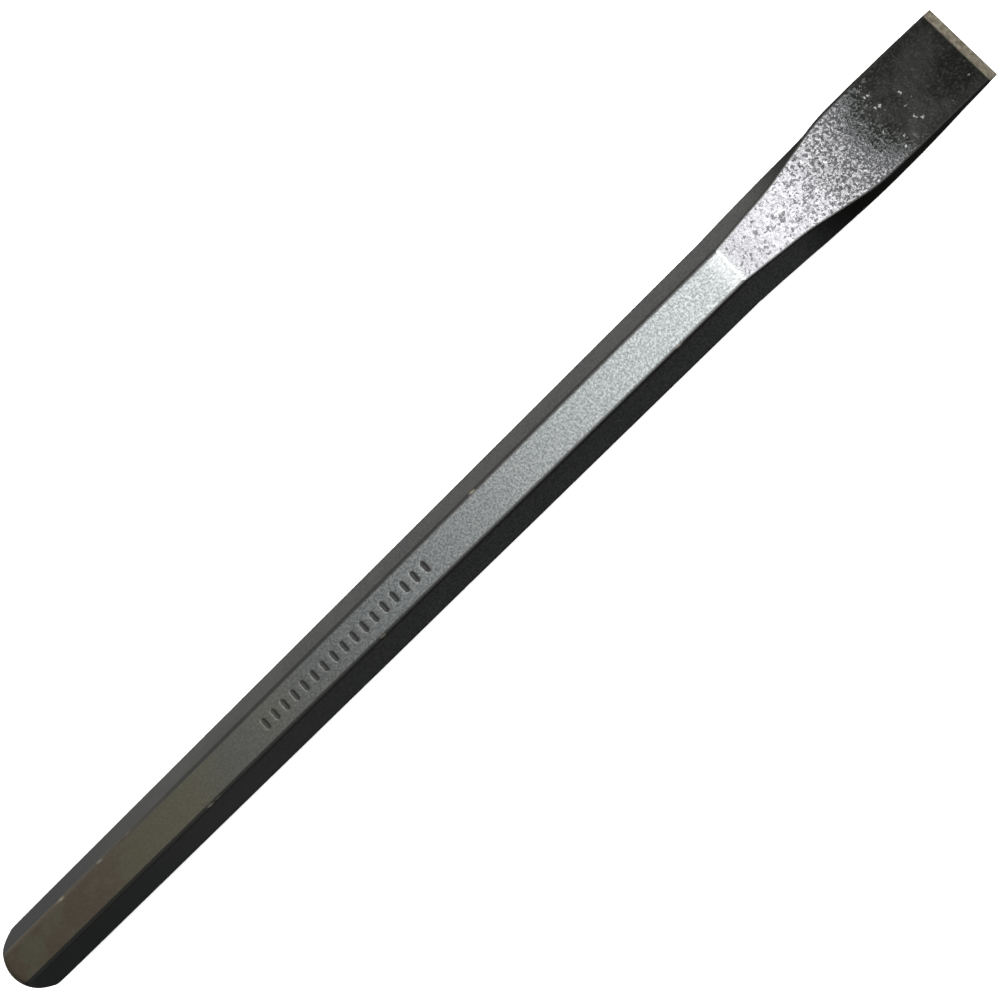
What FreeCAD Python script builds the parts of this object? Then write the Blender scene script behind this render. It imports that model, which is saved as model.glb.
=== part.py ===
"""Cold chisel: one length of hexagon tool steel, forged flat at one end and crowned at the other.

Frame: +X runs along the bar from the struck head to the cutting edge, +Z is up, the chisel
lies on one flat of its hexagon, and the origin is under the middle of its length.
All sizes are millimetres and degrees, and every one is a cell of the sheet "sizes".
"""
import FreeCAD, Part
import os

import Sketcher

Vector = FreeCAD.Vector
Constraint = Sketcher.Constraint

# Driving dimensions: alias, value, what it is.
SIZES = [
    ("across_flats", 15.875, "hexagon bar, flat to flat"),
    ("overall_length", 304.8, "struck face to cutting edge"),
    ("blade_length", 64.0, "forged taper, from the neck to the cutting edge"),
    ("edge_width", 19.05, "width of the cutting edge"),
    ("edge_thickness", 2.6, "thickness the taper would have at the edge, before grinding"),
    ("blade_fullness", 1.2, "how much thicker than a straight taper the blade is at its middle"),
    ("edge_bulge", 0.15, "how much wider the side ridges are than the faces at the edge"),
    ("edge_angle", 70.0, "included angle of the two ground bevels"),
    ("bevel_reach", 5.0, "length of a grinding cut, longer than the bevel that it leaves"),
    ("corner_radius", 0.9, "rounding of the bar's corners and the blade's side ridges"),
    ("forged_radius", 0.5, "rounding of the corners along the blade's broad faces"),
    ("face_radius", 3.3, "flat middle of the struck head"),
    ("crown_length", 5.5, "length of the rounded shoulder behind the struck face"),
    ("crown_radius", 13.0, "radius of that shoulder in profile"),
    ("cut_clearance", 2.0, "how far a cut runs on outside the steel"),
    ("mark_count", 17.0, "plain punched strokes on the upper flat"),
    ("mark_pitch", 3.3, "spacing of the strokes"),
    ("mark_start", 96.0, "struck face to the middle of the first stroke"),
    ("mark_height", 2.4, "length of a stroke, across the flat"),
    ("mark_breadth", 0.6, "width of a stroke"),
    ("mark_depth", 0.25, "depth of a stroke"),
]

# Sections of the forged taper, evenly spaced from the neck to the cutting edge: name, width of
# the broad face, width over the side ridges at mid thickness. Forging has spread the hexagon.
STATIONS = [
    ("throat", 10.8, 18.8),
    ("flare_start", 12.5, 19.4),
    ("flare_middle", 15.7, 19.8),
    ("flare_end", 18.7, 20.2),
    ("shoulder", 19.3, 20.3),
    ("cheek", 19.3, 20.1),
    ("tip", 19.2, 19.6),
]

# Formulas that several features share, in the sheet's aliases.
AXIS_HEIGHT = "sizes.across_flats / 2"
HALF_LENGTH = "sizes.overall_length / 2"
NECK = "(sizes.overall_length / 2 - sizes.blade_length)"
HEX_FACE = "sizes.across_flats * tan(30)"
HEX_CORNERS = "sizes.across_flats / cos(30)"

# How Sketcher names the origin, the two axes and the two ends of a line.
ORIGIN = (-1, 1)
ACROSS_AXIS = -1
UP_AXIS = -2
START, END = 1, 2


def fill_sheet(doc):
    """Writes one row for each driving dimension and gives its value an alias."""
    rows = list(SIZES)
    for name, face, ridges in STATIONS:
        rows.append((name + "_face", face, "broad face at the " + name))
        rows.append((name + "_ridges", ridges, "over the side ridges at the " + name))
    sheet = doc.addObject("Spreadsheet::Sheet", "sizes")
    for number, (alias, value, meaning) in enumerate(rows, start=1):
        sheet.set("A%d" % number, meaning)
        sheet.set("B%d" % number, str(value))
        sheet.setAlias("B%d" % number, alias)
    doc.recompute()


def add_sketch(body, name, role, **offsets):
    """Makes a sketch on one of the body's origin planes, moved by formulas along its own x, y, z."""
    sketch = body.newObject("Sketcher::SketchObject", name)
    plane = next(item for item in body.Origin.OriginFeatures if item.Role == role)
    sketch.AttachmentSupport = [(plane, "")]
    sketch.MapMode = "FlatFace"
    for axis, formula in offsets.items():
        sketch.setExpression("AttachmentOffset.Base." + axis, formula)
    return sketch


def add_outline(sketch, points):
    """Draws a closed outline of straight lines; line number i starts at point number i."""
    for start, end in zip(points, points[1:] + points[:1]):
        sketch.addGeometry(Part.LineSegment(start, end), False)
    for line in range(len(points)):
        following = (line + 1) % len(points)
        sketch.addConstraint(Constraint("Coincident", line, END, following, START))


def bind(sketch, name, formula, kind, *where):
    """Adds one driving dimension to the sketch and ties it to a formula."""
    value = float(sketch.evalExpression(formula))
    number = sketch.addConstraint(Constraint(kind, *where, value))
    sketch.renameConstraint(number, name)
    sketch.setExpression("Constraints." + name, formula)


def add_section(body, name, place, face, ridges, thickness):
    """A six-sided section at one place along the bar.

    Two broad faces lie above and below, and on each side two slopes meet in a ridge at mid
    thickness. A regular hexagon is the case that the bar itself has.
    """
    sketch = add_sketch(body, name, "YZ_Plane", y=AXIS_HEIGHT, z=place)
    add_outline(sketch, [Vector(4, 7, 0), Vector(9, 0, 0), Vector(4, -7, 0),
                         Vector(-4, -7, 0), Vector(-9, 0, 0), Vector(-4, 7, 0)])
    upper_right, right_ridge, lower_right, lower_left, left_ridge, upper_left = range(6)
    sketch.addConstraint([
        Constraint("Symmetric", upper_right, START, upper_left, START, UP_AXIS),
        Constraint("Symmetric", upper_right, START, lower_right, START, ACROSS_AXIS),
        Constraint("Symmetric", upper_right, START, lower_left, START, *ORIGIN),
        Constraint("Symmetric", right_ridge, START, left_ridge, START, *ORIGIN),
        Constraint("PointOnObject", right_ridge, START, ACROSS_AXIS),
    ])
    bind(sketch, "half_face", face + " / 2", "DistanceX", *ORIGIN, upper_right, START)
    bind(sketch, "half_ridges", ridges + " / 2", "DistanceX", *ORIGIN, right_ridge, START)
    bind(sketch, "half_thickness", thickness + " / 2", "DistanceY", *ORIGIN, upper_right, START)
    return sketch


def add_bar(body):
    """The hexagon bar, from the struck face to the neck."""
    bar = body.newObject("PartDesign::Pad", "bar")
    bar.Profile = add_section(body, "bar_section", "-" + HALF_LENGTH,
                              HEX_FACE, HEX_CORNERS, "sizes.across_flats")
    bar.setExpression("Length", "sizes.overall_length - sizes.blade_length")
    body.Tip = bar


def add_blade(body):
    """The forged taper: it thins on slightly full faces while the width spreads, then narrows."""
    neck = add_section(body, "neck_section", NECK, HEX_FACE, HEX_CORNERS, "sizes.across_flats")
    sections = []
    for number, station in enumerate(STATIONS, start=1):
        name = station[0]
        share = "%d / %d" % (number, len(STATIONS) + 1)
        place = NECK + " + sizes.blade_length * " + share
        thinning = "(sizes.across_flats - sizes.edge_thickness) * " + share
        fullness = "sizes.blade_fullness * 4 * (%s) * (1 - %s)" % (share, share)
        sections.append(add_section(body, name + "_section", place,
                                    "sizes.%s_face" % name, "sizes.%s_ridges" % name,
                                    "(sizes.across_flats - %s + %s)" % (thinning, fullness)))
    sections.append(add_section(body, "edge_section", HALF_LENGTH, "sizes.edge_width",
                                "(sizes.edge_width + sizes.edge_bulge)", "sizes.edge_thickness"))
    blade = body.newObject("PartDesign::AdditiveLoft", "blade")
    blade.Profile = neck
    blade.Sections = sections
    body.Tip = blade
    body.Document.recompute()
    return blade


def round_edges(body, name, base, wanted, radius):
    """Rounds the edges of the base that pass the test."""
    edges = ["Edge%d" % number for number, edge in enumerate(base.Shape.Edges, start=1)
             if wanted(edge.BoundBox)]
    rounded = body.newObject("PartDesign::Fillet", name)
    rounded.Base = (base, edges)
    rounded.setExpression("Radius", radius)
    body.Tip = rounded
    body.Document.recompute()
    return rounded


def round_corners(body, blade):
    """Rounds every lengthwise corner: first the bar's and the ridges, then the broad faces'."""
    sizes = body.Document.sizes
    mid_length = 0.0
    mid_height = sizes.across_flats / 2

    def lengthwise(box):
        return box.XLength > sizes.blade_length / 2

    def beside_broad_face(box):
        off_ridge = abs(box.Center.z - mid_height) > sizes.edge_thickness
        return lengthwise(box) and box.XMin > mid_length and off_ridge

    def rolled(box):
        return lengthwise(box) and not beside_broad_face(box)

    rolled_corners = round_edges(body, "rolled_corners", blade, rolled, "sizes.corner_radius")
    round_edges(body, "forged_corners", rolled_corners, beside_broad_face, "sizes.forged_radius")


def cut_crown(body):
    """Turns the head to a flat struck face and a rounded shoulder, about the bar's axis."""
    sketch = add_sketch(body, "crown_profile", "XZ_Plane", y=AXIS_HEIGHT)
    shoulder_back = Vector(-147, 9, 0)
    shoulder_front = Vector(-152, 3, 0)
    shoulder_middle = Vector(-150, 6.5, 0)
    corners = [shoulder_back, Vector(-147, 11, 0), Vector(-154, 11, 0), Vector(-154, 3, 0),
               shoulder_front]
    for start, end in zip(corners, corners[1:]):
        sketch.addGeometry(Part.LineSegment(start, end), False)
    sketch.addGeometry(Part.Arc(shoulder_back, shoulder_middle, shoulder_front), False)
    riser, top, front, bottom, shoulder = range(5)
    sketch.addConstraint([
        Constraint("Coincident", riser, END, top, START),
        Constraint("Coincident", top, END, front, START),
        Constraint("Coincident", front, END, bottom, START),
        Constraint("Coincident", bottom, END, shoulder, END),
        Constraint("Coincident", shoulder, START, riser, START),
        Constraint("Vertical", riser),
        Constraint("Horizontal", top),
        Constraint("Vertical", front),
        Constraint("Horizontal", bottom),
    ])
    bind(sketch, "face_place", HALF_LENGTH, "DistanceX", shoulder, END, *ORIGIN)
    bind(sketch, "face_radius", "sizes.face_radius", "DistanceY", *ORIGIN, shoulder, END)
    bind(sketch, "crown_length", "sizes.crown_length", "DistanceX", shoulder, END, shoulder, START)
    bind(sketch, "bar_radius", HEX_CORNERS + " / 2", "DistanceY", *ORIGIN, shoulder, START)
    bind(sketch, "crown_radius", "sizes.crown_radius", "Radius", shoulder)
    bind(sketch, "above_bar", "sizes.cut_clearance", "DistanceY", riser, START, riser, END)
    bind(sketch, "ahead_of_bar", "sizes.cut_clearance", "DistanceX", bottom, START, bottom, END)
    crown = body.newObject("PartDesign::Groove", "crown")
    crown.Profile = sketch
    crown.ReferenceAxis = (sketch, ["H_Axis"])
    crown.Angle = 360
    body.Tip = crown


def grind_bevel(body, name, side):
    """Grinds one bevel, on the upper side (1) or the lower side (-1), down to the cutting edge."""
    sketch = add_sketch(body, name + "_profile", "XZ_Plane", y=AXIS_HEIGHT)
    add_outline(sketch, [Vector(152, 0, 0), Vector(147, 4 * side, 0),
                         Vector(154, 4 * side, 0), Vector(154, 0, 0)])
    slope, outside, front, middle = range(4)
    sketch.addConstraint([
        Constraint("Horizontal", outside),
        Constraint("Vertical", front),
        Constraint("PointOnObject", slope, START, ACROSS_AXIS),
        Constraint("PointOnObject", middle, START, ACROSS_AXIS),
    ])
    bind(sketch, "edge_place", HALF_LENGTH, "DistanceX", *ORIGIN, slope, START)
    bind(sketch, "reach", "sizes.bevel_reach", "DistanceX", slope, END, slope, START)
    bind(sketch, "ahead_of_edge", "sizes.cut_clearance", "DistanceX", middle, END, middle, START)
    ends = (START, END) if side > 0 else (END, START)
    bind(sketch, "rise", "sizes.bevel_reach * tan(sizes.edge_angle / 2)",
         "DistanceY", slope, ends[0], slope, ends[1])
    bevel = body.newObject("PartDesign::Pocket", name)
    bevel.Profile = sketch
    bevel.Type = "ThroughAll"
    bevel.SideType = "Symmetric"
    body.Tip = bevel


def punch_marks(body):
    """A row of equal strokes, punched across the upper flat."""
    sketch = add_sketch(body, "mark_outline", "XY_Plane", z="sizes.across_flats")
    add_outline(sketch, [Vector(-57, -1, 0), Vector(-56, -1, 0), Vector(-56, 1, 0), Vector(-57, 1, 0)])
    near, right, far, left = range(4)
    sketch.addConstraint([
        Constraint("Horizontal", near),
        Constraint("Vertical", right),
        Constraint("Horizontal", far),
        Constraint("Symmetric", near, START, left, START, ACROSS_AXIS),
    ])
    bind(sketch, "height", "sizes.mark_height", "DistanceY", right, START, right, END)
    bind(sketch, "breadth", "sizes.mark_breadth", "DistanceX", near, START, near, END)
    bind(sketch, "place", HALF_LENGTH + " - sizes.mark_start - sizes.mark_breadth / 2",
         "DistanceX", near, END, *ORIGIN)
    mark = body.newObject("PartDesign::Pocket", "mark")
    mark.Profile = sketch
    mark.setExpression("Length", "sizes.mark_depth")
    body.Tip = mark
    body.Document.recompute()
    row = body.newObject("PartDesign::LinearPattern", "mark_row")
    row.Originals = [mark]
    row.Direction = (sketch, ["H_Axis"])
    row.setExpression("Length", "sizes.mark_pitch * (sizes.mark_count - 1)")
    row.setExpression("Occurrences", "sizes.mark_count")
    body.Tip = row


def check_document(doc, body):
    """Stops if any object failed to compute, or the finished shape isn't one sound solid."""
    for item in doc.Objects:
        if "Invalid" in item.State or "Error" in item.State:
            raise RuntimeError("%s failed: %s" % (item.Name, ", ".join(item.State)))
    shape = body.Shape
    if shape.isNull() or not shape.isValid() or len(shape.Solids) != 1:
        raise RuntimeError(body.Label + " isn't one valid solid")


def check_cuts(doc):
    """Stops if a cut left the volume as it was, which a cut in the wrong direction does."""
    steps = ["forged_corners", "crown", "upper_bevel", "lower_bevel", "mark", "mark_row"]
    volumes = [doc.getObject(name).Shape.Volume for name in steps]
    for name, before, after in zip(steps[1:], volumes, volumes[1:]):
        print("%-12s takes %.2f cubic millimetres" % (name, before - after))
        if after >= before:
            raise RuntimeError(name + " cuts nothing")


def build():
    """Makes the chisel and writes it."""
    doc = FreeCAD.newDocument("cold_chisel")
    fill_sheet(doc)
    body = doc.addObject("PartDesign::Body", "cold_chisel")
    body.Label = "cold_chisel"
    body.Placement = FreeCAD.Placement()
    add_bar(body)
    round_corners(body, add_blade(body))
    cut_crown(body)
    grind_bevel(body, "upper_bevel", 1)
    grind_bevel(body, "lower_bevel", -1)
    punch_marks(body)
    doc.recompute()
    check_document(doc, body)
    check_cuts(doc)
    os.makedirs("parts", exist_ok=True)
    body.Shape.exportStep("parts/%s.step" % body.Label)
    print("%s: %.1f cubic millimetres, %s" % (body.Label, body.Shape.Volume, body.Shape.BoundBox))


build()
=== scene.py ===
"""Looks of the cold chisel: a hexagonal bar of blackened steel, forged at one end to a broad flat blade.

One closed mesh takes the place of the CAD solid. It repeats that solid's sizes and adds what forging,
grinding and handling leave on such a bar: wavy faces, pitted scale on the taper, nicks along the edges.

Lengths are in millimetres until they are handed to Blender. "Along" is the distance from the struck
face, "across" is the sideways distance from the bar's axis, and "height" is measured from that axis.
"""

import math

import bpy
import numpy as np
from mathutils import Matrix, Vector, noise


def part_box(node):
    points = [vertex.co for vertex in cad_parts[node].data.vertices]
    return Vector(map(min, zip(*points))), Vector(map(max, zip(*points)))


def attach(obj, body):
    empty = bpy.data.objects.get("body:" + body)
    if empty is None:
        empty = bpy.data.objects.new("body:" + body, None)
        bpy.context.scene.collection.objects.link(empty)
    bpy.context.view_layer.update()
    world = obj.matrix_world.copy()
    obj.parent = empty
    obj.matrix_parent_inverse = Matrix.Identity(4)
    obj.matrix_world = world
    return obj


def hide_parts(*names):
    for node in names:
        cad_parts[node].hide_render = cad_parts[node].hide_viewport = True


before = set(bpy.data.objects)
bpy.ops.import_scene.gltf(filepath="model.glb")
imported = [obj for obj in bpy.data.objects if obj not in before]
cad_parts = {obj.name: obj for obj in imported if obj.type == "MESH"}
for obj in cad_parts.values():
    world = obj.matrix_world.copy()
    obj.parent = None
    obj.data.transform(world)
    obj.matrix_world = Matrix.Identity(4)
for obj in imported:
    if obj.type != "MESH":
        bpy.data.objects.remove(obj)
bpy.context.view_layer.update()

MM = 0.001
NODE = "cold_chisel"
LOW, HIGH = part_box(NODE)
LENGTH = (HIGH[0] - LOW[0]) / MM
ACROSS_FLATS = (HIGH[2] - LOW[2]) / MM
AXIS_HEIGHT = ACROSS_FLATS / 2

# The bar and its forged blade.
FLAT_HALF = ACROSS_FLATS / 2 * math.tan(math.radians(30))
RIDGE_HALF = 2 * FLAT_HALF
BLADE_LENGTH = 64.0
NECK = LENGTH - BLADE_LENGTH
TIP_THICKNESS = 2.6
FULLNESS = 1.2
BEVEL_ANGLE = 70.0
EDGE_THICKNESS = 0.08
# Full widths at evenly spaced stations from the neck to the cutting edge.
FACE_WIDTHS = (2 * FLAT_HALF, 10.8, 12.5, 15.7, 18.7, 19.3, 19.3, 19.2, 19.05)
RIDGE_WIDTHS = (2 * RIDGE_HALF, 18.8, 19.4, 19.8, 20.2, 20.3, 20.1, 19.6, 19.2)
# The real forging leans a little to one side where the blade is broadest.
FACE_LEAN = 0.08
RIDGE_LEAN = 0.5
BAR_ROUNDING = 0.9
BLADE_ROUNDING = 0.5
# A rounded corner takes at most this share of either side next to it.
LARGEST_CUT = 0.4

# The crowned head, and the slight bulge of its struck face.
FACE_RADIUS = 3.3
CROWN_LENGTH = 5.5
CROWN_RADIUS = 13.0
CROWN_BLEND = 0.25
FACE_BULGE = 0.12
FACE_RINGS = (0.1, 0.2, 0.35, 0.5, 0.65, 0.8, 0.9, 0.96)
FACE_WAVE_SIZE = 2.2
FACE_WAVE_HEIGHT = 0.05
FACE_WAVE_SEED = 5

# The row of punched strokes on the upper flat.
MARK_COUNT = 17
MARK_START = 96.0
MARK_PITCH = 3.3
MARK_WIDTH = 0.6
MARK_LENGTH = 2.4
MARK_DEPTH = 0.25
MARK_WALL = 0.18

# Nicks on the long edges: where along, which corner of the section, and size.
NICKS = (
    (26.5, 1, 0.4), (41.5, 1, 0.3), (52.0, 1, 0.25), (72.0, 2, 0.3), (74.5, 2, 0.25), (131.0, 2, 0.3),
    (168.0, 1, 0.3), (222.0, 2, 0.25), (58.0, 4, 0.4), (120.0, 5, 0.35), (196.0, 4, 0.3), (88.0, 0, 0.4),
    (151.0, 3, 0.4),
)
# A nick's depth as a share of its size, how it is stretched along the edge, and how fast it falls off.
NICK_DEPTH = 0.25
NICK_STRETCH = (0.6, 1, 1)
NICK_FALL = 1.5
# Larger dents in the broad faces of the blade: where along, where across, radius and depth.
DISHES = (
    (284.0, -7.4, 1.3, 0.05), (254.0, 1.1, 0.7, 0.07), (268.0, 2.1, 0.75, 0.08), (261.5, -3.2, 0.6, 0.06),
    (272.5, -5.5, 0.65, 0.07), (247.5, -1.8, 0.5, 0.05), (276.0, 4.6, 0.6, 0.07), (265.0, 5.0, 0.55, 0.06),
)
# The share of a dent's radius that is its flat floor.
DISH_FLOOR = 0.55

# The last stretch of the blade is smoother and darker than the pitted taper: partly blacker steel, partly
# painted shade where the blade turns away from the light.
DARK_LENGTH = 25.0
DARK_START = LENGTH - DARK_LENGTH
# Small pits strewn over each broad face of the taper: where, and their half length, half width and depth.
# They crowd towards the blade, and the first ones have only a share of the depth.
PIT_COUNT = 1900
PIT_SEED = 12
PIT_START = NECK + 2.5
PIT_STRETCH = BLADE_LENGTH - DARK_LENGTH - 3
PIT_ACROSS = 10
PIT_CROWDING = 0.6
PIT_SHALLOWEST = 0.4
PIT_LONG = (0.28, 0.6)
PIT_SHORT = (0.18, 0.3)
PIT_DEPTH = (0.008, 0.03)
# Waves of the steel: size, swell everywhere, and what forging adds to it. Ripples are on broad faces only.
WAVES = ((22, 0.03, 0.07), (6, 0.006, 0.03))
RIPPLE_SIZE = 1.7
RIPPLE_SWELL = 0.02
RIPPLE_SEED = 3

# Masks for the material: how far an edge reaches, and the depths at which pits and nicks count in full.
EDGE_REACH = 0.45
FULL_PIT = 0.035
FULL_NICK = 0.08

# How far the ground bevel reaches back from the cutting edge, to where it meets the blade's slope.
BEVEL_SLOPE = math.tan(math.radians(BEVEL_ANGLE / 2))
BLADE_SLOPE = (AXIS_HEIGHT - TIP_THICKNESS / 2 + 2 * FULLNESS) / BLADE_LENGTH
BEVEL_LENGTH = (TIP_THICKNESS - EDGE_THICKNESS) / 2 / (BEVEL_SLOPE - BLADE_SLOPE)
BEVEL_START = LENGTH - BEVEL_LENGTH

# Distances between the rings of the mesh, and where they stand around the middle of each stroke.
CROWN_STEP = 0.25
CROWN_MARGIN = 2.0
HEAD_STEP = 1.3
BAR_STEP = 1.1
BLADE_STEP = 0.3
BEVEL_STEP = 0.2
MARK_RINGS = (-MARK_PITCH / 2, -0.9, -0.42, -0.3, -0.18, 0, 0.18, 0.3, 0.42, 0.9)

# Sides of the section, counted from the +Y ridge over the top.
UPPER_FLAT = 1
LOWER_FLAT = 4


# ---------------------------------------------------------------- outline of the steel

def through(values, along):
    """Smooth curve through values at evenly spaced stations of the blade, read at the places along."""
    values = np.array(values)
    step = BLADE_LENGTH / (len(values) - 1)
    place = np.clip((along - NECK) / step, 0, len(values) - 1)
    first = np.minimum(place.astype(int), len(values) - 2)
    part = place - first
    slopes = np.gradient(values)
    start = values[first] * (1 + 2 * part) + slopes[first] * part
    end = values[first + 1] * (3 - 2 * part) - slopes[first + 1] * (1 - part)
    return start * (1 - part) ** 2 + end * part ** 2


def half_thickness(along):
    """Half the thickness: the bar's, then a slightly full taper, then the ground bevel."""
    run = np.clip((along - NECK) / BLADE_LENGTH, 0, 1)
    taper = AXIS_HEIGHT + (TIP_THICKNESS / 2 - AXIS_HEIGHT) * run + 2 * FULLNESS * run * (1 - run)
    bevel = EDGE_THICKNESS / 2 + (LENGTH - along) * BEVEL_SLOPE
    return np.minimum(taper, bevel)


def crown_limit(along):
    """Greatest radius of the head: an arc from the rim of the struck face to the bar, then its tangent."""
    rise = RIDGE_HALF - FACE_RADIUS
    chord = math.hypot(CROWN_LENGTH, rise)
    reach = math.sqrt(CROWN_RADIUS ** 2 - chord ** 2 / 4)
    centre_along = CROWN_LENGTH / 2 + reach * rise / chord
    centre_radius = (FACE_RADIUS + RIDGE_HALF) / 2 - reach * CROWN_LENGTH / chord
    on_arc = np.minimum(along, CROWN_LENGTH) - centre_along
    arc = centre_radius + np.sqrt(CROWN_RADIUS ** 2 - on_arc ** 2)
    end = CROWN_LENGTH - centre_along
    slope = -end / math.sqrt(CROWN_RADIUS ** 2 - end ** 2)
    return arc + slope * np.maximum(along - CROWN_LENGTH, 0)


def corners(along):
    """The six corners (across, height) of each section, going round from the +Y ridge over the top."""
    face = through(FACE_WIDTHS, along) / 2
    ridge = through(RIDGE_WIDTHS, along) / 2
    thick = half_thickness(along)
    level = np.zeros_like(along)
    across = np.stack([ridge, face, -face, -ridge, -face, face], axis=1)
    height = np.stack([level, thick, thick, level, -thick, -thick], axis=1)
    broadest = np.sin(np.pi * np.clip((along - NECK) / BLADE_LENGTH, 0, 1)) ** 2
    leans = (RIDGE_LEAN, FACE_LEAN, FACE_LEAN, RIDGE_LEAN, FACE_LEAN, FACE_LEAN)
    return np.stack([across - np.outer(broadest, leans), height], axis=2)


def cut_corners(hexagon, rounding):
    """Where the rounding of each corner starts and ends, for corners of the given radius."""
    before = np.roll(hexagon, 1, axis=1) - hexagon
    after = np.roll(hexagon, -1, axis=1) - hexagon
    length_before = np.linalg.norm(before, axis=2)
    length_after = np.linalg.norm(after, axis=2)
    cosine = (before * after).sum(axis=2) / (length_before * length_after)
    half_angle = np.arccos(np.clip(cosine, -1, 1)) / 2
    cut = rounding[:, None] / np.tan(half_angle)
    cut = np.minimum(cut, LARGEST_CUT * np.minimum(length_before, length_after))
    start = hexagon + before * (cut / length_before)[:, :, None]
    end = hexagon + after * (cut / length_after)[:, :, None]
    return start, end


class Around:
    """How the points of one section are shared out: along the two flats, the four facets, the corners."""

    def __init__(self, flat, facet, corner):
        self.sides = (facet, flat, facet, facet, flat, facet)
        self.corner = corner
        self.count = sum(self.sides) + 6 * corner
        side_of_point = []
        for side, steps in enumerate(self.sides):
            side_of_point += [-1] * (corner + 1) + [side] * (steps - 1)
        self.side = self.from_ridge(side_of_point, 0)

    def from_ridge(self, values, axis):
        """Values for the points of a section, turned so that the first is the middle of the ridge."""
        return np.roll(values, -(self.corner // 2), axis=axis)

    def sections(self, along):
        """Rounded sections at the places along.

        Gives the points (across, height) and how far each is from the corners of its side.
        """
        hexagon = corners(along)
        start, end = cut_corners(hexagon, np.where(along < NECK, BAR_ROUNDING, BLADE_ROUNDING))
        points = []
        distances = []
        for corner, steps in enumerate(self.sides):
            following = (corner + 1) % 6
            for part in np.linspace(0, 1, self.corner + 1):
                bend = (1 - part) ** 2 * start[:, corner] + part ** 2 * end[:, corner]
                points.append(bend + 2 * part * (1 - part) * hexagon[:, corner])
                distances.append(np.zeros_like(along))
            run = start[:, following] - end[:, corner]
            side_length = np.linalg.norm(run, axis=1)
            for part in np.arange(1, steps) / steps:
                points.append(end[:, corner] + part * run)
                distances.append(min(part, 1 - part) * side_length)
        points = self.from_ridge(np.stack(points, axis=1), 1)
        distances = self.from_ridge(np.stack(distances, axis=1), 1)
        return points, distances


# ---------------------------------------------------------------- relief on its faces

def smooth(value, low, high):
    """0 below low, 1 above high and an even ease between them."""
    part = np.clip((value - low) / (high - low), 0, 1)
    return part * part * (3 - 2 * part)


def waves(places, size, seed):
    """Smooth random field of about -1 to 1 whose bumps are about size across."""
    shift = Vector((seed * 17.3, seed * 5.1, seed * 9.7))
    flat = places.reshape(-1, 3) / size
    values = [noise.noise(Vector(place) + shift) for place in flat]
    return np.array(values).reshape(places.shape[:-1])


def waviness(grid, broad):
    """How far the surface swells, in waves and ripples that are strongest where it was forged."""
    forged = smooth(grid[:, :, 0], NECK - 4, NECK + 6)
    swell = np.zeros(forged.shape)
    for seed, (size, everywhere, extra) in enumerate(WAVES, start=1):
        swell += waves(grid, size, seed) * (everywhere + extra * forged)
    return swell + waves(grid, RIPPLE_SIZE, RIPPLE_SEED) * RIPPLE_SWELL * forged * broad


def stroke_depth(along, across):
    """Depth of the row of punched strokes, each the same plain bar."""
    number = np.clip(np.round((along - MARK_START) / MARK_PITCH), 0, MARK_COUNT - 1)
    offset = np.abs(along - (MARK_START + number * MARK_PITCH))
    in_width = 1 - smooth(offset, MARK_WIDTH / 2 - MARK_WALL, MARK_WIDTH / 2 + MARK_WALL)
    in_length = 1 - smooth(np.abs(across), MARK_LENGTH / 2 - MARK_WALL, MARK_LENGTH / 2 + MARK_WALL)
    return MARK_DEPTH * in_width * in_length


def scatter_pits(grid, on_side, random):
    """Depth of forging pits strewn over one broad face of the taper, more and deeper towards the blade."""
    depth = np.zeros(grid.shape[:2])
    along = grid[:, 0, 0]
    columns = np.flatnonzero(on_side)
    across = grid[:, columns, 1]
    for _ in range(PIT_COUNT):
        reach = random.random() ** PIT_CROWDING
        place = PIT_START + reach * PIT_STRETCH
        sideways = random.uniform(-PIT_ACROSS, PIT_ACROSS)
        long_half = random.uniform(*PIT_LONG)
        short_half = random.uniform(*PIT_SHORT)
        turn = random.uniform(0, math.pi)
        deep = random.uniform(*PIT_DEPTH) * (PIT_SHALLOWEST + reach)
        rows = np.flatnonzero(np.abs(along - place) < long_half)
        if not len(rows):
            continue
        d_along = grid[rows][:, columns, 0] - place
        d_across = across[rows] - sideways
        major = (d_along * math.cos(turn) + d_across * math.sin(turn)) / long_half
        minor = (d_across * math.cos(turn) - d_along * math.sin(turn)) / short_half
        shape = np.clip(1 - major ** 2 - minor ** 2, 0, 1)
        spot = np.ix_(rows, columns)
        depth[spot] = np.maximum(depth[spot], deep * shape)
    return depth


def dish_depth(places):
    """Depth of the larger round dents."""
    depth = np.zeros(places.shape[:2])
    for along, across, radius, deep in DISHES:
        gap = np.hypot(places[:, :, 0] - along, places[:, :, 1] - across) / radius
        depth = np.maximum(depth, deep * (1 - smooth(gap, DISH_FLOOR, 1.0)))
    return depth


def nick_depth(places):
    """Depth of the small dents knocked into the long edges."""
    depth = np.zeros(places.shape[:2])
    for along, edge, size in NICKS:
        corner = corners(np.array([along]))[0][edge]
        centre = np.array([along, corner[0], corner[1]])
        gap = np.linalg.norm((places - centre) * NICK_STRETCH, axis=2) / size
        depth = np.maximum(depth, NICK_DEPTH * size * np.exp(-gap ** 2 * NICK_FALL))
    return depth


def outward(grid):
    """Outward unit normals of a grid of points, rings by points around."""
    along = np.gradient(grid, axis=0)
    around = np.roll(grid, -1, axis=1) - np.roll(grid, 1, axis=1)
    normal = np.cross(around, along)
    length = np.linalg.norm(normal, axis=2, keepdims=True)
    return normal / np.maximum(length, 1e-9)


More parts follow.
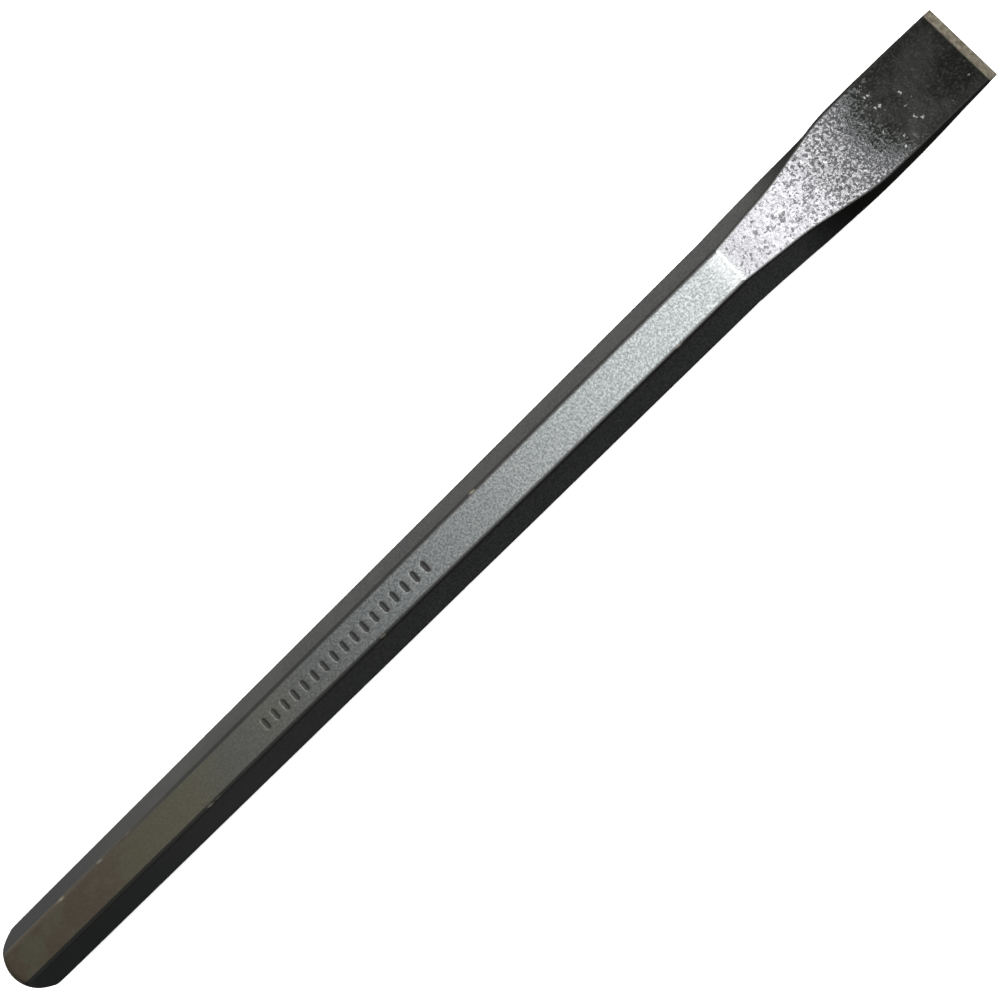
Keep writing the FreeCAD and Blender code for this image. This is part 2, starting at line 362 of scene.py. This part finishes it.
def crowned_grid(along, around):
    """Points (along, across, height) of the rings, with the head crowned, and distances to a corner."""
    section, distance = around.sections(along)
    radius = np.linalg.norm(section, axis=2)
    limit = np.broadcast_to(crown_limit(along)[:, None], radius.shape)
    kept = -CROWN_BLEND * np.logaddexp(-radius / CROWN_BLEND, -limit / CROWN_BLEND)
    section = section * (kept / radius)[:, :, None]
    places = np.broadcast_to(along[:, None, None], radius.shape + (1,))
    return np.concatenate([places, section], axis=2), distance


def shape_steel(along, around):
    """Points of the rings at the places along, with their relief, and the masks that the material reads."""
    grid, distance = crowned_grid(along, around)
    upper = around.side == UPPER_FLAT
    lower = around.side == LOWER_FLAT
    broad = upper | lower
    random = np.random.default_rng(PIT_SEED)
    pits = scatter_pits(grid, upper, random) + scatter_pits(grid, lower, random)
    nicks = nick_depth(grid)
    dishes = dish_depth(grid) * broad
    marks = stroke_depth(grid[:, :, 0], grid[:, :, 1]) * upper
    near_edge = smooth(LENGTH - grid[:, :, 0], 0, 2 * BEVEL_LENGTH)
    swell = (waviness(grid, broad) - (pits + nicks + dishes)) * near_edge - marks
    masks = {
        "edge": np.exp(-distance / EDGE_REACH),
        "pit": np.clip(pits / FULL_PIT, 0, 1),
        "nick": np.clip(nicks / FULL_NICK, 0, 1),
        "mark": marks / MARK_DEPTH,
        "broad": np.broadcast_to(broad, distance.shape) * 1.0,
    }
    return grid + outward(grid) * swell[:, :, None], masks


# ---------------------------------------------------------------- mesh

def spaced(start, end, step):
    """Places from start to just short of end, about step apart."""
    return np.linspace(start, end, max(1, round((end - start) / step)), endpoint=False)


def bar_places():
    """Where the bar has rings: close together over the crown and the strokes, wider elsewhere."""
    crown_end = CROWN_LENGTH + CROWN_MARGIN
    marks_end = MARK_START + (MARK_COUNT - 1) * MARK_PITCH
    last = NECK - BLADE_STEP
    crown = spaced(0, crown_end, CROWN_STEP)
    before = spaced(crown_end, MARK_START - MARK_PITCH / 2, HEAD_STEP)
    strokes = [MARK_START + number * MARK_PITCH for number in range(MARK_COUNT)]
    marks = [middle + offset for middle in strokes for offset in MARK_RINGS]
    after = spaced(marks_end + MARK_PITCH / 2, last, BAR_STEP)
    return np.concatenate([crown, before, marks, after, [last]])


def bevel_places():
    """Where the bevel has rings, the first of them exactly where it starts."""
    return np.append(spaced(BEVEL_START, LENGTH, BEVEL_STEP), LENGTH)


def blade_places():
    """Where the blade has rings, up to the cutting edge."""
    return np.concatenate([spaced(NECK, BEVEL_START, BLADE_STEP), bevel_places()])


def struck_face(rim):
    """Rings that fill the struck face from near its centre out to its rim."""
    rings = []
    for part in FACE_RINGS:
        ring = rim * (part, part, part)
        ring[:, 0] = -FACE_BULGE * (1 - part) ** 0.5
        ring[:, 0] += FACE_WAVE_HEIGHT * waves(ring, FACE_WAVE_SIZE, FACE_WAVE_SEED)
        rings.append(ring)
    return rings


def ring_faces(first, rings, count):
    """Quads between one ring and the next, for rings of the same count whose points start at first."""
    faces = []
    for ring in range(rings - 1):
        near = first + ring * count
        far = near + count
        faces += [(near + i, near + (i + 1) % count, far + (i + 1) % count, far + i) for i in range(count)]
    return faces


def doubling_faces(first, second, count):
    """Triangles from a ring of count points to a ring of twice as many."""
    faces = []
    for i in range(count):
        a, b = first + i, first + (i + 1) % count
        c, d, e = (second + (2 * i + k) % (2 * count) for k in range(3))
        faces += [(a, d, c), (a, b, d), (b, e, d)]
    return faces


def edge_faces(first, count):
    """Closes the thin last ring at the cutting edge, joining each upper point to the one below it."""
    faces = [(first, first + 1, first + count - 1)]
    for i in range(1, count // 2 - 1):
        faces.append((first + i, first + i + 1, first + count - i - 1, first + count - i))
    middle = first + count // 2
    faces.append((middle - 1, middle, middle + 1))
    return faces


def build_chisel():
    """The whole chisel as one closed mesh object."""
    bar_around = Around(flat=34, facet=8, corner=4)
    blade_around = Around(flat=68, facet=16, corner=8)
    bar, bar_masks = shape_steel(bar_places(), bar_around)
    blade, blade_masks = shape_steel(blade_places(), blade_around)
    face_rings = struck_face(bar[0])
    centre = [(-FACE_BULGE, 0, 0)]
    points = np.concatenate([centre, *face_rings, bar.reshape(-1, 3), blade.reshape(-1, 3)])
    placed = (points + (0, 0, AXIS_HEIGHT)) * MM + (LOW[0], 0, LOW[2])
    faces = chisel_faces(len(face_rings) + len(bar), bar_around.count, len(blade), blade_around.count)

    mesh = bpy.data.meshes.new("chisel")
    mesh.from_pydata(placed.tolist(), [], faces)
    mesh.validate()
    add_masks(mesh, bar_masks, blade_masks)
    mesh.shade_smooth()
    edge_first = len(points) - blade_around.count
    bevel_first = len(points) - len(bevel_places()) * blade_around.count
    mark_sharp(mesh, (edge_first, bevel_first), blade_around.count)
    chisel = bpy.data.objects.new("chisel_steel", mesh)
    bpy.context.collection.objects.link(chisel)
    return chisel


def chisel_faces(bar_rings, bar_count, blade_rings, blade_count):
    """All faces: a fan round the centre of the struck face, the bar, the finer blade, the cutting edge."""
    blade_first = 1 + bar_rings * bar_count
    edge_first = blade_first + (blade_rings - 1) * blade_count
    faces = [(0, 1 + (i + 1) % bar_count, 1 + i) for i in range(bar_count)]
    faces += ring_faces(1, bar_rings, bar_count)
    faces += doubling_faces(blade_first - bar_count, blade_first, bar_count)
    faces += ring_faces(blade_first, blade_rings, blade_count)
    faces += edge_faces(edge_first, blade_count)
    return faces


def add_masks(mesh, bar_masks, blade_masks):
    """Stores the masks with the points of the mesh. They are 0 on the struck face."""
    for name in bar_masks:
        steel = np.concatenate([bar_masks[name].ravel(), blade_masks[name].ravel()])
        values = np.zeros(len(mesh.vertices), dtype=np.float32)
        values[-len(steel):] = steel
        layer = mesh.attributes.new(name, "FLOAT", "POINT")
        layer.data.foreach_set("value", values)


def mark_sharp(mesh, firsts, count):
    """Keeps rings crisp, given the first point of each: the cutting edge and the start of the bevel."""
    ends = np.empty(len(mesh.edges) * 2, dtype=int)
    mesh.edges.foreach_get("vertices", ends)
    ends = ends.reshape(-1, 2)
    sharp = np.zeros(len(ends), dtype=bool)
    for first in firsts:
        sharp |= ((ends >= first) & (ends < first + count)).all(axis=1)
    layer = mesh.attributes.new("sharp_edge", "BOOLEAN", "EDGE")
    layer.data.foreach_set("value", sharp)


# ---------------------------------------------------------------- shader nodes

# A dot's smallest and largest radius, as shares of the one asked for, and how soft its rim is.
DOT_SIZES = (0.6, 1.3)
DOT_RIM = (-0.08, 0.12)
# How often the push of a bent place changes, per millimetre.
BENDS = 1.3


class Graph:
    """Short ways to add shader nodes to a material or to the world."""

    def __init__(self, owner):
        self.tree = owner.node_tree
        self.tree.nodes.clear()

    def add(self, kind, **settings):
        """A node with its properties set from lower-case names."""
        node = self.tree.nodes.new(kind)
        for name, value in settings.items():
            setattr(node, name, value)
        return node

    def feed(self, socket, value):
        """Links a socket, or sets its value."""
        if isinstance(value, bpy.types.NodeSocket):
            self.tree.links.new(value, socket)
        else:
            socket.default_value = value

    def math(self, operation, a, b=0.0):
        """The result of a math operation on one or two values."""
        node = self.add("ShaderNodeMath", operation=operation)
        self.feed(node.inputs[0], a)
        self.feed(node.inputs[1], b)
        return node.outputs[0]

    def times(self, a, b):
        """a times b."""
        return self.math("MULTIPLY", a, b)

    def plus(self, a, b):
        """a plus b."""
        return self.math("ADD", a, b)

    def most(self, a, b):
        """The larger of a and b."""
        return self.math("MAXIMUM", a, b)

    def all_but(self, mask):
        """1 where a mask is 0, and 0 where it is 1."""
        return self.math("SUBTRACT", 1.0, mask)

    def swing(self, pattern, amount):
        """A pattern from 0 to 1, turned into a push of up to half the amount either way."""
        return self.times(self.plus(pattern, -0.5), amount)

    def ease(self, value, low, high, start=0.0, end=1.0):
        """start below low, end above high, with a smooth step between them."""
        node = self.add("ShaderNodeMapRange", interpolation_type="SMOOTHSTEP")
        for name, given in (("Value", value), ("From Min", low), ("From Max", high),
                            ("To Min", start), ("To Max", end)):
            self.feed(node.inputs[name], given)
        return node.outputs[0]

    def fade(self, value, low, high):
        """1 below low, 0 above high, with a smooth step between them."""
        return self.ease(value, high, low)

    def mix(self, factor, a, b):
        """Colour a turning into colour b."""
        node = self.add("ShaderNodeMix", data_type="RGBA")
        self.feed(node.inputs[0], factor)
        self.feed(node.inputs[6], a)
        self.feed(node.inputs[7], b)
        return node.outputs[2]

    def mask(self, name):
        """A mask that the mesh carries."""
        return self.add("ShaderNodeAttribute", attribute_name=name).outputs["Fac"]

    def agreement(self, direction, aim):
        """How far a direction points the same way as an aim, from -1 to 1."""
        node = self.add("ShaderNodeVectorMath", operation="DOT_PRODUCT")
        self.feed(node.inputs[0], direction)
        node.inputs[1].default_value = Vector(aim).normalized()
        return node.outputs["Value"]

    def grain(self, place, size, detail=2.0, stretch=(1, 1, 1)):
        """Random pattern from 0 to 1 with features about size millimetres across."""
        mapping = self.add("ShaderNodeMapping")
        self.feed(mapping.inputs["Vector"], place)
        mapping.inputs["Scale"].default_value = [1 / (size * s) for s in stretch]
        node = self.add("ShaderNodeTexNoise")
        self.feed(node.inputs["Vector"], mapping.outputs[0])
        node.inputs["Scale"].default_value = 1.0
        node.inputs["Detail"].default_value = detail
        return node.outputs["Fac"]

    def bent(self, place, amount):
        """The place pushed about by up to some millimetres, so that what is drawn there is uneven."""
        pattern = self.add("ShaderNodeTexNoise")
        self.feed(pattern.inputs["Vector"], place)
        pattern.inputs["Scale"].default_value = BENDS
        push = self.add("ShaderNodeVectorMath", operation="MULTIPLY_ADD")
        self.feed(push.inputs[0], pattern.outputs["Color"])
        push.inputs[1].default_value = (amount, amount, amount)
        self.feed(push.inputs[2], place)
        return push.outputs[0]

    def dots(self, place, spacing, radius, share):
        """Dots about spacing millimetres apart, in that share of the places where one could be."""
        cells = self.add("ShaderNodeTexVoronoi")
        self.feed(cells.inputs["Vector"], place)
        cells.inputs["Scale"].default_value = 1 / spacing
        chance = self.add("ShaderNodeSeparateColor")
        self.feed(chance.inputs[0], cells.outputs["Color"])
        smallest, largest = (size * radius / spacing for size in DOT_SIZES)
        reach = self.ease(chance.outputs[1], 0.0, 1.0, smallest, largest)
        inside = self.math("SUBTRACT", reach, cells.outputs["Distance"])
        present = self.math("LESS_THAN", chance.outputs[0], share)
        return self.times(self.ease(inside, *DOT_RIM), present)


def rgb(red, green, blue):
    """An opaque colour, in linear light."""
    return (red, green, blue, 1.0)


# ---------------------------------------------------------------- material

# Oxide on the bar.
PLAIN_OXIDE = rgb(0.134, 0.139, 0.138)
OLIVE_OXIDE = rgb(0.171, 0.162, 0.112)
REDDISH_OXIDE = rgb(0.160, 0.127, 0.089)
GRIT_LOW = rgb(0.104, 0.112, 0.115)
GRIT_HIGH = rgb(0.186, 0.195, 0.193)
MOTTLED_FACETS = rgb(0.178, 0.181, 0.174)
HEAD_FACETS = rgb(0.077, 0.086, 0.088)
# Painted shade: the facets darker towards the top of the bar.
FACET_SHADE_NEAR_TOP = rgb(0.070, 0.067, 0.062)
# Painted highlight: the broad faces lighter just before the neck.
NECK_HIGHLIGHT = rgb(0.215, 0.220, 0.220)
# Scale on the taper, and the spots in it.
SCALE_AT_NECK = rgb(0.156, 0.156, 0.163)
SCALE_ON_TAPER = rgb(0.252, 0.251, 0.262)
SCALE_GRIT = rgb(0.12, 0.12, 0.126)
SPOT_AT_NECK = rgb(0.052, 0.052, 0.056)
SPOT_ON_TAPER = rgb(0.047, 0.048, 0.050)
# The dark stretch: black steel, partly painted shade. The blade's facets are painted nearly black as shade.
BLACK = rgb(0.016, 0.017, 0.015)
CHARCOAL = rgb(0.036, 0.037, 0.035)
CHARCOAL_GRIT = rgb(0.055, 0.056, 0.056)
BLACK_AND_SHADED_FACETS = rgb(0.014, 0.014, 0.013)
# Painted glint: the colour of highlights on specks of the dark stretch.
PAINTED_GLINT = rgb(0.33, 0.33, 0.335)
# Strokes, corner lines of painted shade and highlight, the painted highlight at the neck, and bare steel.
STROKE = rgb(0.052, 0.052, 0.050)
# Painted shade: the dark that the rounded corners mirror.
PAINTED_CORNER_SHADE = rgb(0.045, 0.045, 0.043)
# Light brown on the corners near the head: partly rubbed steel, partly a painted highlight.
WORN_CORNER_AND_HIGHLIGHT = rgb(0.42, 0.33, 0.21)
# Painted highlight on the crease at the neck.
NECK_CREASE_HIGHLIGHT = rgb(0.34, 0.34, 0.34)
BARE_NICK = rgb(0.90, 0.82, 0.66)
BARE_BRIGHT = rgb(0.42, 0.39, 0.31)
BARE_DULL = rgb(0.27, 0.24, 0.19)
BARE_GRIT = rgb(0.16, 0.145, 0.11)
BEVEL_HEEL = rgb(0.03, 0.03, 0.028)


class Surface:
    """Where a point of the steel is, in millimetres, and the random patterns that its colours follow."""

    def __init__(self, g):
        to_mm = g.add("ShaderNodeMapping")
        g.feed(to_mm.inputs["Vector"], g.add("ShaderNodeTexCoord").outputs["Object"])
        to_mm.inputs["Location"].default_value = (-LOW[0] / MM, 0, 0)
        to_mm.inputs["Scale"].default_value = (1 / MM, 1 / MM, 1 / MM)
        self.place = to_mm.outputs[0]
        split = g.add("ShaderNodeSeparateXYZ")
        g.feed(split.inputs[0], self.place)
        self.along, self.across, self.above_floor = split.outputs
        self.positive_side = g.math("GREATER_THAN", self.across, 0.0)
        self.broad = g.mask("broad")
        self.facets = g.all_but(self.broad)
        self.fine = g.grain(self.place, 0.42)
        self.spotty = g.grain(self.place, 0.5, stretch=(1.2, 1, 1))
        self.grit = g.grain(self.place, 0.55)
        self.coarse = g.grain(self.place, 1.1, 3.0)
        self.cloudy = g.grain(self.place, 9.0, 3.0)
        self.patchy = g.grain(self.place, 26.0)
        self.uneven = g.bent(self.place, 1.6)


class Zones:
    """Masks of the stretches of the chisel that look different from each other."""

    def __init__(self, g, at):
        wobble = g.swing(g.grain(at.place, 3.0, 3.0), 5.0)
        # The dark stretch reaches further back in the middle of the face than at its sides.
        off_axis = g.times(at.across, 1 / 9)
        bow = g.times(g.all_but(g.times(off_axis, off_axis)), 4.0)
        wavy_along = g.plus(g.plus(at.along, wobble), g.times(bow, g.ease(at.along, NECK, DARK_START)))
        stippled_along = g.plus(wavy_along, g.swing(at.spotty, 24.0))
        # Where the blade is darkened, on its broad faces and its facets: partly blacker steel, partly
        # painted shade.
        dark_broad = g.times(g.ease(stippled_along, DARK_START - 1, DARK_START + 5), at.broad)
        dark_facets = g.times(g.ease(at.along, NECK + 9, NECK + 28), at.facets)
        past_neck = g.ease(at.along, NECK + 0.2, NECK + 1.4)
        self.head = g.fade(at.along, 20.0, 75.0)
        self.before_neck = g.times(g.ease(at.along, NECK - 5, NECK - 1.5), g.all_but(past_neck))
        self.dark = g.plus(dark_broad, dark_facets)
        self.taper = g.times(g.times(past_neck, g.all_but(self.dark)), at.broad)
        self.down_taper = g.ease(wavy_along, NECK + 8, DARK_START + 1)
        self.ground = g.math("GREATER_THAN", at.along, BEVEL_START)


def bar_oxide(g, at, zones):
    """The oxide along the bar: warm and smooth near the head, cooler and grittier towards the blade. Its
    facets carry painted shade towards the top, and its broad faces a painted highlight just before the
    neck.
    """
    warm = g.fade(g.plus(at.along, g.swing(at.patchy, 80.0)), 55.0, 135.0)
    reddish = g.times(g.ease(at.cloudy, 0.38, 0.52), g.fade(at.along, 32.0, 58.0))
    warm_oxide = g.mix(reddish, OLIVE_OXIDE, REDDISH_OXIDE)
    smooth_oxide = g.mix(g.times(warm, at.broad), PLAIN_OXIDE, warm_oxide)
    gritty_oxide = g.mix(g.ease(at.grit, 0.32, 0.68), GRIT_LOW, GRIT_HIGH)
    oxide = g.mix(g.ease(at.along, 60.0, 148.0, 0.12, 1.0), smooth_oxide, gritty_oxide)
    mottled = g.times(g.times(g.ease(at.cloudy, 0.4, 0.6), 0.4), at.positive_side)
    oxide = g.mix(g.times(mottled, at.facets), oxide, MOTTLED_FACETS)
    oxide = g.mix(g.times(zones.head, at.facets), oxide, HEAD_FACETS)
    # Painted shade: the facets turn darker towards the top, standing in for the dimmer surroundings they
    # mirror there.
    painted_shade_high_up = g.ease(at.above_floor, 1.2 * AXIS_HEIGHT, 2 * AXIS_HEIGHT, 0.0, 0.12)
    oxide = g.mix(g.times(painted_shade_high_up, at.facets), oxide, FACET_SHADE_NEAR_TOP)
    # Painted highlight: the broad faces are painted lighter just before the neck.
    return g.mix(g.times(g.times(zones.before_neck, at.broad), 0.7), oxide, NECK_HIGHLIGHT)


def taper_spots(g, at, zones):
    """Dark spots in the scale: few and round near the neck, crowded together near the dark stretch, where
    the crowding is partly painted shade.
    """
    crowded = g.times(zones.down_taper, zones.down_taper)
    large = g.dots(at.uneven, 1.1, 0.40, g.ease(crowded, 0, 1, 0.42, 0.9))
    small = g.dots(at.uneven, 0.75, 0.27, g.ease(crowded, 0, 1, 0.25, 0.95))
    # The blotches darken the scale towards the dark stretch: partly scale, partly painted shade.
    blotches = g.ease(g.math("SUBTRACT", g.ease(crowded, 0, 1, 0.39, 0.51), at.spotty), -0.05, 0.05)
    blotches = g.times(blotches, g.ease(zones.down_taper, 0, 0.4, 0.4, 1.0))
    return g.most(g.most(large, g.times(small, 0.75)), blotches)


def taper_scale(g, at, zones, spots):
    """The bright worn scale on the taper, dark in its spots and pits."""
    holes = g.most(g.times(g.mask("pit"), 0.4), g.times(spots, g.ease(zones.down_taper, 0, 1, 0.85, 0.95)))
    worn = g.mix(g.ease(at.along, NECK + 2, NECK + 18), SCALE_AT_NECK, SCALE_ON_TAPER)
    worn = g.mix(g.times(g.ease(at.grit, 0.35, 0.65), 0.12), worn, SCALE_GRIT)
    return g.mix(holes, worn, g.mix(zones.down_taper, SPOT_AT_NECK, SPOT_ON_TAPER))


def dark_scale_and_shade(g, at):
    """The dark stretch, black steel and partly painted shade, with painted glints that thin out towards the
    edge, and its facets painted in shade.
    """
    black = g.mix(g.ease(at.cloudy, 0.35, 0.65), BLACK, CHARCOAL)
    black = g.mix(g.times(g.ease(at.grit, 0.45, 0.7), 0.5), black, CHARCOAL_GRIT)
    slanted_along = g.plus(at.along, g.times(at.across, -0.5))
    share = g.ease(slanted_along, DARK_START, DARK_START + 14, 0.2, 0.045)
    # Painted glints: bright dots in the colour that stand in for highlights on pits.
    painted_glints = g.dots(at.uneven, 1.1, 0.24, g.times(share, g.ease(at.cloudy, 0.4, 0.6, 0.5, 1.8)))
    black = g.mix(g.times(painted_glints, at.broad), black, PAINTED_GLINT)
    return g.mix(at.facets, black, BLACK_AND_SHADED_FACETS)


def add_wear(g, at, zones, colour):
    """Dark strokes whose dark reaches their rims as painted shade, dark corner lines of painted shade, a
    light brown corner line near the head that is rubbed steel and painted highlight, a painted highlight
    along the neck, and bare nicks.
    """
    # The strokes are dark steel inside; the dark reaches onto their rims as painted shade.
    colour = g.mix(g.ease(g.mask("mark"), 0.0, 0.06, 0.0, 0.78), colour, STROKE)
    negative_side = g.all_but(at.positive_side)
    line_strength = g.most(g.ease(at.along, 40.0, 110.0, 0.3, 0.7), g.times(negative_side, 0.8))
    # Corner lines: dark painted shade, stronger on the -Y side; near the head on the +Y side light brown,
    # rubbed steel and a painted highlight.
    corner_line = g.times(g.ease(g.mask("edge"), 0.6, 0.95), line_strength)
    corner_tint = g.mix(g.times(zones.head, at.positive_side), PAINTED_CORNER_SHADE, WORN_CORNER_AND_HIGHLIGHT)
    colour = g.mix(corner_line, colour, corner_tint)
    # Painted highlight: a light line across the broad faces where they bend at the neck.
    from_neck = g.math("ABSOLUTE", g.plus(g.plus(at.along, g.times(at.coarse, 1.2)), -NECK - 0.6))
    neck_highlight = g.times(g.fade(from_neck, 0.1, 0.5), at.broad)
    colour = g.mix(g.times(neck_highlight, 0.5), colour, NECK_CREASE_HIGHLIGHT)
    return g.mix(g.mask("nick"), colour, BARE_NICK)


def add_bevel(g, at, zones, colour):
    """Bare steel on the ground bevel, with a dark line at its heel."""
    bare = g.mix(g.ease(at.coarse, 0.35, 0.65), BARE_BRIGHT, BARE_DULL)
    bare = g.mix(g.times(g.ease(at.grit, 0.4, 0.7), 0.55), bare, BARE_GRIT)
    colour = g.mix(zones.ground, colour, bare)
    heel = g.times(zones.ground, g.fade(at.along, BEVEL_START, BEVEL_START + 0.4))
    return g.mix(g.times(heel, 0.8), colour, BEVEL_HEEL)


def roughness(g, at, zones):
    """Satin oxide, glossier on the blade and duller on bare steel and in the strokes."""
    rough = g.ease(at.fine, 0.3, 0.7, 0.38, 0.47)
    rough = g.plus(rough, g.times(zones.taper, -0.05))
    rough = g.plus(rough, g.times(zones.dark, -0.12))
    rough = g.plus(rough, g.times(zones.ground, 0.06))
    return g.plus(rough, g.ease(g.mask("mark"), 0.0, 0.1, 0.0, 0.3))


def fine_relief(g, at, zones, spots):
    """Height of the fine texture in millimetres: grain on the bar, scale on the blade, grinding lines."""
    bar = g.times(g.plus(at.fine, g.times(at.coarse, 0.8)), 0.020)
    bar = g.times(bar, g.ease(at.along, 60.0, 130.0, 0.4, 1.0))
    bar = g.times(bar, g.ease(at.broad, 0.0, 1.0, 0.5, 1.0))
    scale = g.times(at.coarse, g.ease(zones.down_taper, 0, 1, 0.012, 0.045))
    scale = g.plus(scale, g.times(spots, -0.02))
    dark = g.times(g.grain(at.place, 1.4), 0.03)
    lines = g.times(g.grain(at.place, 0.5, stretch=(8, 0.35, 8)), 0.01)
    height = g.plus(bar, g.times(scale, zones.taper))
    height = g.plus(height, g.times(dark, zones.dark))
    return g.plus(height, g.times(lines, zones.ground))


def steel_material():
    """Blackened steel: fine grained oxide, pitted scale on the taper, a dark blade that is partly painted
    shade, bare ground bevel.
    """
    material = bpy.data.materials.new("blackened_steel")
    material.use_nodes = True
    g = Graph(material)
    at = Surface(g)
    zones = Zones(g, at)
    spots = taper_spots(g, at, zones)
    colour = g.mix(zones.taper, bar_oxide(g, at, zones), taper_scale(g, at, zones, spots))
    # The dark stretch is laid over the rest, partly as painted shade.
    colour = g.mix(zones.dark, colour, dark_scale_and_shade(g, at))
    colour = add_wear(g, at, zones, colour)
    colour = add_bevel(g, at, zones, colour)

    bump = g.add("ShaderNodeBump")
    bump.inputs["Strength"].default_value = 1.0
    bump.inputs["Distance"].default_value = MM
    g.feed(bump.inputs["Height"], fine_relief(g, at, zones, spots))
    shader = g.add("ShaderNodeBsdfPrincipled")
    shader.inputs["Metallic"].default_value = 1.0
    g.feed(shader.inputs["Base Color"], colour)
    g.feed(shader.inputs["Roughness"], roughness(g, at, zones))
    g.feed(shader.inputs["Normal"], bump.outputs[0])
    output = g.add("ShaderNodeOutputMaterial")
    g.feed(output.inputs["Surface"], shader.outputs[0])
    return material


# ---------------------------------------------------------------- studio

def add_floor():
    """A wide pale floor that the chisel lies on."""
    reach = 6.0
    square = [(-reach, -reach, 0), (reach, -reach, 0), (reach, reach, 0), (-reach, reach, 0)]
    mesh = bpy.data.meshes.new("floor")
    mesh.from_pydata(square, [], [(0, 1, 2, 3)])
    material = bpy.data.materials.new("floor_white")
    material.use_nodes = True
    shader = material.node_tree.nodes["Principled BSDF"]
    shader.inputs["Base Color"].default_value = rgb(0.86, 0.86, 0.86)
    shader.inputs["Roughness"].default_value = 0.9
    shader.inputs["Specular IOR Level"].default_value = 0.1
    mesh.materials.append(material)
    floor = bpy.data.objects.new("floor", mesh)
    bpy.context.collection.objects.link(floor)
    # The steel doesn't mirror the floor, so that its flanks stay dark.
    floor.visible_glossy = False
    return floor


def add_softbox(name, place, size, radiance):
    """A rectangular soft light that faces straight down, with its reach along X and Y in metres."""
    light = bpy.data.lights.new(name, "AREA")
    light.shape = "RECTANGLE"
    light.size, light.size_y = size
    light.energy = radiance * math.pi * size[0] * size[1]
    lamp = bpy.data.objects.new(name, light)
    lamp.location = place
    bpy.context.collection.objects.link(lamp)


def add_world():
    """White surroundings. What the steel mirrors of them is dimmer, and brighter on one side."""
    world = bpy.data.worlds.new("studio")
    world.use_nodes = True
    bpy.context.scene.world = world
    g = Graph(world)
    direction = g.add("ShaderNodeTexCoord").outputs["Generated"]
    split = g.add("ShaderNodeSeparateXYZ")
    g.feed(split.inputs[0], direction)
    bright_side = g.agreement(direction, (0.62, 0.78, 0.0))
    level = g.ease(bright_side, -0.95, 1.0, 0.03, 0.64)
    level = g.times(level, g.ease(split.outputs[2], -0.95, -0.45, 0.08, 1.0))
    fill_side = g.agreement(direction, (-0.64, -0.69, 0.35))
    level = g.plus(level, g.ease(fill_side, 0.85, 1.0, 0.0, 0.5))
    mirrored = g.mix(level, rgb(0, 0, 0), rgb(1, 0.98, 0.94))
    is_mirror = g.add("ShaderNodeLightPath").outputs["Is Glossy Ray"]
    background = g.add("ShaderNodeBackground")
    g.feed(background.inputs["Color"], g.mix(is_mirror, rgb(1.6, 1.6, 1.6), mirrored))
    output = g.add("ShaderNodeOutputWorld")
    g.feed(output.inputs["Surface"], background.outputs[0])


def add_camera():
    """The photograph's view: from almost straight above, with the chisel across the frame's diagonal."""
    place = Vector((0.0751, -0.0312, 0.2962))
    aim = Vector((0.0174, -0.0003, AXIS_HEIGHT * MM))
    picture_up = math.radians(45.67)
    forward = (aim - place).normalized()
    hint = Vector((math.cos(picture_up), math.sin(picture_up), 0))
    right = forward.cross(hint).normalized()
    up = right.cross(forward)
    data = bpy.data.cameras.new("camera")
    data.sensor_width = 36.0
    data.lens = 47.7
    camera = bpy.data.objects.new("camera", data)
    turn = Matrix((right, up, -forward)).transposed().to_4x4()
    camera.matrix_world = Matrix.Translation(place) @ turn
    bpy.context.collection.objects.link(camera)
    bpy.context.scene.camera = camera


chisel = build_chisel()
chisel.data.materials.append(steel_material())
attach(chisel, "root")
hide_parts(NODE)
add_floor()
add_world()
add_softbox("key", place=(0.165, 0.0, 0.9), size=(0.31, 0.7), radiance=12.0)
add_camera()
bpy.context.scene.view_settings.view_transform = "Standard"
